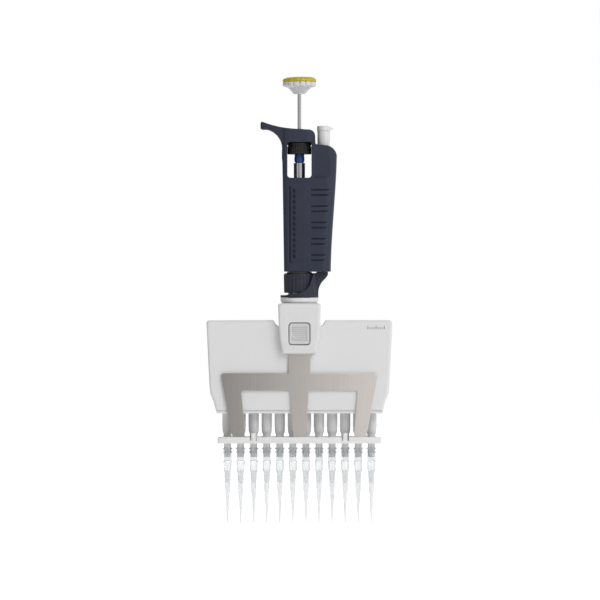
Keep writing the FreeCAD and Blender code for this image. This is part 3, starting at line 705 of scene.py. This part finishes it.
def stamped(name, node, finish, slot, body, edge_break):
    """A flat-faced part: the designed solid with its edges broken."""
    shape, mesh = designed_shape(node)
    bmesh.ops.dissolve_limit(shape, angle_limit=math.radians(1.0), verts=shape.verts, edges=shape.edges)
    shape.to_mesh(mesh)
    shape.free()
    piece = new_piece(name, mesh, finish, slot, body, node)
    broken = piece.modifiers.new("edge", "BEVEL")
    broken.width = edge_break * MM
    broken.segments = 2
    broken.limit_method = "ANGLE"
    broken.angle_limit = math.radians(35)
    apply_modifiers(piece)
    piece.data.set_sharp_from_angle(angle=math.radians(20))
    return piece


brushed = metal("brushed_plate", PLATE_SHADED_SIDE, PLATE_LIT_SIDE, 0.42, PLATE_LINES, PLATE_LINE_DEPTH, 0.14)

# The brushed face goes from dark at its left edge to bright at its right, a painted reflection of the light
# from the right, with the fine lines' own contrast added.
tree = brushed.node_tree
across = tree.nodes.new("ShaderNodeSeparateXYZ")
link(tree, tree.nodes.new("ShaderNodeTexCoord").outputs["Object"], across.inputs[0])
painted_reflection_drift = tree.nodes.new("ShaderNodeMapRange")
plate_low, plate_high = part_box("ejector_plate")
painted_reflection_drift.inputs["From Min"].default_value = plate_low.x
painted_reflection_drift.inputs["From Max"].default_value = plate_high.x
painted_reflection_drift.inputs["To Min"].default_value = 0.12
painted_reflection_drift.inputs["To Max"].default_value = 0.88
link(tree, across.outputs["X"], painted_reflection_drift.inputs["Value"])
lines_and_painted_reflection = tree.nodes.new("ShaderNodeMath")
lines_and_painted_reflection.operation = "MULTIPLY_ADD"
lines_and_painted_reflection.inputs[1].default_value = LINE_SHARE
fine_lines = [n for n in tree.nodes if n.bl_idname == "ShaderNodeTexNoise"][0]
centred = tree.nodes.new("ShaderNodeMath")
centred.operation = "SUBTRACT"
centred.inputs[1].default_value = 0.5
link(tree, fine_lines.outputs["Fac"], centred.inputs[0])
link(tree, centred.outputs[0], lines_and_painted_reflection.inputs[0])
link(tree, painted_reflection_drift.outputs["Result"], lines_and_painted_reflection.inputs[2])
plate_tint = [n for n in tree.nodes if n.bl_idname == "ShaderNodeMix"][0]
link(tree, lines_and_painted_reflection.outputs[0], plate_tint.inputs[0])
tree.nodes["Principled BSDF"].inputs["Anisotropic"].default_value = 0.5
stamped("ejector_plate_sheet", "ejector_plate", brushed, "brushed_stainless", "carriage", 0.16)


# Stripper bar. A white tray that pushes the tips off, with a hole for each nozzle, a low rim, and two
# snap tabs that hold it to the plate's outer prongs.
BAR_WHITE = (0.85, 0.85, 0.84)
BAR_WORN = (0.74, 0.74, 0.74)
bar_white = moulded_plastic("bar_plastic", BAR_WHITE, BAR_WORN, 0.40)
stamped("stripper_bar_tray", "stripper_bar", bar_white, "white_plastic", "carriage", 0.22)


# Nozzles. Twelve mid-grey mouldings pushed through the lower strip: a plain barrel, a cone, and the
# slim end that a tip grips. The air bore runs down the middle.
NOZZLE_GREY = (0.70, 0.70, 0.705)
PITCH = 9.0
CHANNELS = 12
channel_x = [(i - (CHANNELS - 1) / 2) * PITCH * MM for i in range(CHANNELS)]
nozzle_outline = [
    (1.0, 0.0),
    (2.1, 0.0),
    (2.45, 6.5),
    (2.45, 8.9),
    (2.75, 9.5),
    (2.75, 15.9),
    (3.3, 16.9),
    (3.54, 18.3),
    (3.54, 46.5),
    (2.3, 46.5),
    (2.3, 23.0),
    (1.0, 21.5),
]
nozzle_grey = moulded_plastic("nozzle_moulded_plastic", NOZZLE_GREY, (0.62, 0.62, 0.63), 0.34)
one_nozzle = turned_mesh("one_nozzle", eased(nozzle_outline, 0.35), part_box("nozzles")[0].z, 64)
row = bmesh.new()
for x in channel_x:
    first = len(row.verts)
    row.from_mesh(one_nozzle)
    row.verts.ensure_lookup_table()
    for vert in row.verts[first:]:
        vert.co.x += x
nozzle_mesh = bpy.data.meshes.new("nozzle_row")
row.to_mesh(nozzle_mesh)
row.free()
new_piece("nozzle_row", nozzle_mesh, nozzle_grey, "nozzle_plastic", "head", "nozzles")
dress(nozzle_grey, "seal_retainer")


# Tips. Twelve clear polypropylene tips: a collar with two rings, a finned sleeve, and a long hollow cone
# that ends in a fine point. Each is pushed onto its nozzle and is thrown away after use.
FINS = 8
FIN_HEIGHT = 0.16
FLOW_LINES = (260.0, 260.0, 30.0)
TIP_MILKY = (0.90, 0.915, 0.925)
TIP_CLEAR = (0.96, 0.965, 0.97)


def tip_fin(radius, height, angle):
    if 36.0 < height < 42.0 and radius > 2.4:
        return radius + FIN_HEIGHT * (0.5 + 0.5 * math.cos(FINS * angle)) ** 3
    return radius


tip_outline = [
    (0.25, 0.02),
    (0.42, 0.02),
    (0.7, 7.7),
    (1.0, 13.7),
    (1.9, 24.4),
    (2.15, 35.2),
    (2.45, 35.9),
    (2.47, 36.4),
    (2.6, 41.6),
    (2.62, 42.05),
    (3.05, 42.15),
    (3.05, 42.7),
    (2.7, 42.85),
    (2.8, 48.45),
    (3.5, 48.6),
    (3.5, 49.2),
    (2.86, 49.35),
    (2.9, 50.95),
    (3.55, 51.1),
    (3.55, 51.7),
    (3.3, 51.95),
    (2.52, 51.95),
    (2.16, 45.5),
    (2.05, 36.0),
    (1.8, 35.0),
    (1.45, 24.4),
    (0.62, 13.7),
    (0.4, 7.7),
]


def clear_polypropylene():
    """Clear, slightly milky plastic with faint flow lines down its length."""
    finish = bpy.data.materials.new("clear_polypropylene")
    finish.use_nodes = True
    tree = finish.node_tree
    clear = tree.nodes["Principled BSDF"]
    clear.inputs["Transmission Weight"].default_value = 0.94
    clear.inputs["IOR"].default_value = 1.49
    place = tree.nodes.new("ShaderNodeMapping")
    place.inputs["Scale"].default_value = FLOW_LINES
    link(tree, tree.nodes.new("ShaderNodeTexCoord").outputs["Object"], place.inputs["Vector"])
    flow = tree.nodes.new("ShaderNodeTexNoise")
    flow.inputs["Scale"].default_value = 1.0
    link(tree, place.outputs["Vector"], flow.inputs["Vector"])
    milky = tree.nodes.new("ShaderNodeMix")
    milky.data_type = "RGBA"
    milky.inputs[6].default_value = (*TIP_MILKY, 1.0)
    milky.inputs[7].default_value = (*TIP_CLEAR, 1.0)
    link(tree, flow.outputs["Fac"], milky.inputs[0])
    link(tree, milky.outputs[2], clear.inputs["Base Color"])
    haze = tree.nodes.new("ShaderNodeMapRange")
    haze.inputs["To Min"].default_value = 0.0
    haze.inputs["To Max"].default_value = 0.03
    link(tree, flow.outputs["Fac"], haze.inputs["Value"])
    link(tree, haze.outputs["Result"], clear.inputs["Roughness"])
    return finish


clear_plastic = clear_polypropylene()
for number, x in enumerate(channel_x, start=1):
    node = "tip_%02d" % number
    tip_mesh = turned_mesh("clear_" + node, tip_outline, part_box(node)[0].z, 96, True, tip_fin)
    tip_mesh.set_sharp_from_angle(angle=math.radians(28))
    for vert in tip_mesh.vertices:
        vert.co.x += x
    new_piece("clear_" + node, tip_mesh, clear_plastic, "tip_clear", "tips", node)


# Volume counter. Three white drums turn behind a clear window in the grip's back, each with the figures
# 0 to 9 printed round it in thick black ink.
DRUM_RADIUS = 6.55
FIGURE_HEIGHT = 4.3
INK_THICKNESS = 0.03
drum_white = moulded_plastic("drum_plastic_white", (0.82, 0.82, 0.80), (0.74, 0.74, 0.72), 0.45)
drum_ink = moulded_plastic("drum_ink", (0.012, 0.012, 0.012), (0.03, 0.03, 0.03), 0.5)


def figure_ring(node):
    """The figures 0 to 9 standing round a drum, each bent to its curve."""
    low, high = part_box(node)
    shape = bmesh.new()
    for figure in range(10):
        text = bpy.data.curves.new("figure", "FONT")
        text.body = str(figure)
        text.size = FIGURE_HEIGHT * 1.35 * MM
        text.align_x = "CENTER"
        text.extrude = INK_THICKNESS * MM
        drawn = bpy.data.objects.new("figure", text)
        bpy.context.scene.collection.objects.link(drawn)
        bpy.context.view_layer.update()
        graph = bpy.context.evaluated_depsgraph_get()
        flat = bpy.data.meshes.new_from_object(drawn.evaluated_get(graph))
        first = len(shape.verts)
        shape.from_mesh(flat)
        shape.verts.ensure_lookup_table()
        turn = math.pi / 2 + 2 * math.pi * figure / 10
        for vert in shape.verts[first:]:
            angle = turn + vert.co.x / (DRUM_RADIUS * MM)
            reach = DRUM_RADIUS * MM + vert.co.z + 0.01 * MM
            height = (low.z + high.z) / 2 - FIGURE_HEIGHT / 2 * MM + vert.co.y
            vert.co = (reach * math.cos(angle), reach * math.sin(angle), height)
        bpy.data.objects.remove(drawn)
    mesh = bpy.data.meshes.new(node + "_figures")
    shape.to_mesh(mesh)
    shape.free()
    return mesh


for node, body in (("units_drum", "dial"), ("tens_drum", "tens"), ("hundreds_drum", "hundreds")):
    dress(drum_white, node)
    new_piece(node + "_figures", figure_ring(node), drum_ink, "dark_plastic", body)

window_clear = clear_polypropylene()
window_clear.name = "window_clear"
dress(window_clear, "volumeter_lens")


# Inside the grip and the head. Bearing parts are turned from charcoal acetal, the drive screw, its nut and
# the rod's foot are brass, the springs are drawn steel wire, and the piston seals are black rubber.
charcoal = moulded_plastic("bearing_plastic", (0.085, 0.085, 0.09), (0.14, 0.14, 0.145), 0.4)
dress(charcoal, "rod_guide", "sleeve_bush", "volumeter_frame", "threaded_spigot", "piston_carrier")
turned_brass = metal("turned_brass", (0.80, 0.62, 0.30), (0.62, 0.46, 0.20), 0.26, (400.0, 400.0, 7000.0))
dress(turned_brass, "drive_screw", "drive_nut", "rod_foot")
drawn_wire = metal("drawn_wire", (0.52, 0.52, 0.54), (0.38, 0.38, 0.40), 0.34, (2500.0, 2500.0, 2500.0))
dress(drawn_wire, "blowout_spring", "blowout_washer")
black_rubber = moulded_plastic("seal_black_rubber", (0.022, 0.022, 0.022), (0.05, 0.05, 0.05), 0.68)
dress(black_rubber, "piston_seals")


# Return springs. Round steel wire wound with closed ends: one in the neck lifts the plunger and the
# pistons, the other sits round the ejector rod and lifts the ejector button.
WIRE_SIDES = 12
STEPS_A_TURN = 36


def wound_spring(node, body, radius, wire, turns):
    """A spring of this mean radius and wire radius in mm, standing where its designed solid stands."""
    low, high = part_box(node)
    x = (low.x + high.x) / 2 / MM
    bottom, top = low.z / MM + wire, high.z / MM - wire
    closed = 2 * wire
    pitch = (top - bottom - 2 * closed) / (turns - 2)
    shape = bmesh.new()
    rings = []
    for step in range(turns * STEPS_A_TURN + 1):
        turn = step / STEPS_A_TURN
        end_turns = min(turn, 1) + max(turn - turns + 1, 0)
        open_turns = min(max(turn - 1, 0), turns - 2)
        z = bottom + closed * end_turns + pitch * open_turns
        angle = 2 * math.pi * turn
        ring = []
        for side in range(WIRE_SIDES):
            around = 2 * math.pi * side / WIRE_SIDES
            reach = radius + wire * math.cos(around)
            spot = (x + reach * math.cos(angle), reach * math.sin(angle), z + wire * math.sin(around))
            ring.append(shape.verts.new([part * MM for part in spot]))
        rings.append(ring)
    for near, far in zip(rings, rings[1:]):
        for k in range(WIRE_SIDES):
            n = (k + 1) % WIRE_SIDES
            shape.faces.new((near[k], far[k], far[n], near[n]))
    shape.faces.new(rings[0])
    shape.faces.new(reversed(rings[-1]))
    bmesh.ops.recalc_face_normals(shape, faces=shape.faces)
    mesh = bpy.data.meshes.new(node + "_wound")
    shape.to_mesh(mesh)
    shape.free()
    mesh.polygons.foreach_set("use_smooth", [True] * len(mesh.polygons))
    mesh.set_sharp_from_angle(angle=math.radians(50))
    spring = new_piece(node + "_wound", mesh, drawn_wire, "spring_steel", body, node)
    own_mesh(spring)


wound_spring("return_spring", "head", 3.15, 0.35, 11)
wound_spring("ejector_spring", "handle", 3.3, 0.45, 6)


# Studio. A pale seamless floor and an even white surround, one broad soft light from the upper right,
# a weaker one from the left, and a level camera in front, far enough away to keep the row of tips upright.
FLOOR_Z = -0.08
FLOOR_REACH = 5.0
THROUGH_CLEAR = 0.62
CAMERA_DISTANCE = 3.0
VIEW_WIDTH = 0.4132
FRAME_WIDTH = 36.0
WHITE = (1.0, 1.0, 1.0, 1.0)


def straight_look(node_tree):
    """One for what is seen directly, less through clear plastic, nothing for light and reflections."""
    path = node_tree.nodes.new("ShaderNodeLightPath")
    either = node_tree.nodes.new("ShaderNodeMath")
    either.operation = "MULTIPLY_ADD"
    either.inputs[1].default_value = THROUGH_CLEAR
    link(node_tree, path.outputs["Is Transmission Ray"], either.inputs[0])
    link(node_tree, path.outputs["Is Camera Ray"], either.inputs[2])
    return either.outputs[0]


floor_shape = bmesh.new()
bmesh.ops.create_grid(floor_shape, x_segments=2, y_segments=2, size=FLOOR_REACH)
floor_mesh = bpy.data.meshes.new("studio_floor")
floor_shape.to_mesh(floor_mesh)
floor_shape.free()
floor = bpy.data.objects.new("studio_floor", floor_mesh)
bpy.context.scene.collection.objects.link(floor)
floor.location.z = FLOOR_Z
floor_paint = bpy.data.materials.new("floor_paint")
floor_paint.use_nodes = True
painted = floor_paint.node_tree.nodes["Principled BSDF"]
painted.inputs["Base Color"].default_value = (0.92, 0.92, 0.92, 1.0)
painted.inputs["Roughness"].default_value = 0.9
painted.inputs["Specular IOR Level"].default_value = 0.0
painted.inputs["Emission Color"].default_value = WHITE
glow = floor_paint.node_tree.nodes.new("ShaderNodeMapRange")
glow.inputs["To Min"].default_value = 0.22
glow.inputs["To Max"].default_value = 0.8
link(floor_paint.node_tree, straight_look(floor_paint.node_tree), glow.inputs["Value"])
link(floor_paint.node_tree, glow.outputs["Result"], painted.inputs["Emission Strength"])
floor_mesh.materials.append(floor_paint)

surround = bpy.data.worlds.new("surround")
bpy.context.scene.world = surround
surround.use_nodes = True
tree = surround.node_tree
air = tree.nodes["Background"]
backdrop = tree.nodes.new("ShaderNodeBackground")
backdrop.inputs["Strength"].default_value = 1.0
backdrop.inputs["Color"].default_value = WHITE
air.inputs["Color"].default_value = WHITE
side_to_side = tree.nodes.new("ShaderNodeSeparateXYZ")
link(tree, tree.nodes.new("ShaderNodeTexCoord").outputs["Generated"], side_to_side.inputs[0])
drop = tree.nodes.new("ShaderNodeMapRange")
drop.inputs["From Min"].default_value = -0.8
drop.inputs["From Max"].default_value = 0.5
drop.inputs["To Min"].default_value = 0.06
drop.inputs["To Max"].default_value = 0.68
link(tree, side_to_side.outputs["X"], drop.inputs["Value"])
link(tree, drop.outputs["Result"], air.inputs["Strength"])
either = tree.nodes.new("ShaderNodeMixShader")
link(tree, straight_look(tree), either.inputs[0])
link(tree, air.outputs[0], either.inputs[1])
link(tree, backdrop.outputs[0], either.inputs[2])
link(tree, either.outputs[0], tree.nodes["World Output"].inputs["Surface"])


def soft_light(name, place, aim, size, power):
    lamp = bpy.data.lights.new(name, "AREA")
    lamp.shape = "SQUARE"
    lamp.size = size
    lamp.energy = power
    made = bpy.data.objects.new(name, lamp)
    bpy.context.scene.collection.objects.link(made)
    made.location = place
    direction = aim - made.location
    made.rotation_euler = direction.to_track_quat("-Z", "Y").to_euler()


middle = (cad_box[0] + cad_box[1]) / 2
soft_light("key", (0.75, -0.9, 0.95), middle, 0.7, 7.5)
soft_light("fill", (-1.0, -0.8, 0.35), middle, 0.8, 1.2)
soft_light("rim", (-0.3, 0.9, 0.8), middle, 0.6, 3.0)

camera_data = bpy.data.cameras.new("camera")
camera_data.sensor_width = FRAME_WIDTH
camera_data.lens = FRAME_WIDTH * CAMERA_DISTANCE / VIEW_WIDTH
camera_data.clip_start = 0.1
camera_data.clip_end = 100.0
camera = bpy.data.objects.new("camera", camera_data)
bpy.context.scene.collection.objects.link(camera)
camera.location = (0.0004, -CAMERA_DISTANCE, middle.z)
camera.rotation_euler = (math.pi / 2, 0.0, 0.0)
bpy.context.scene.camera = camera
bpy.context.scene.view_settings.view_transform = "Standard"
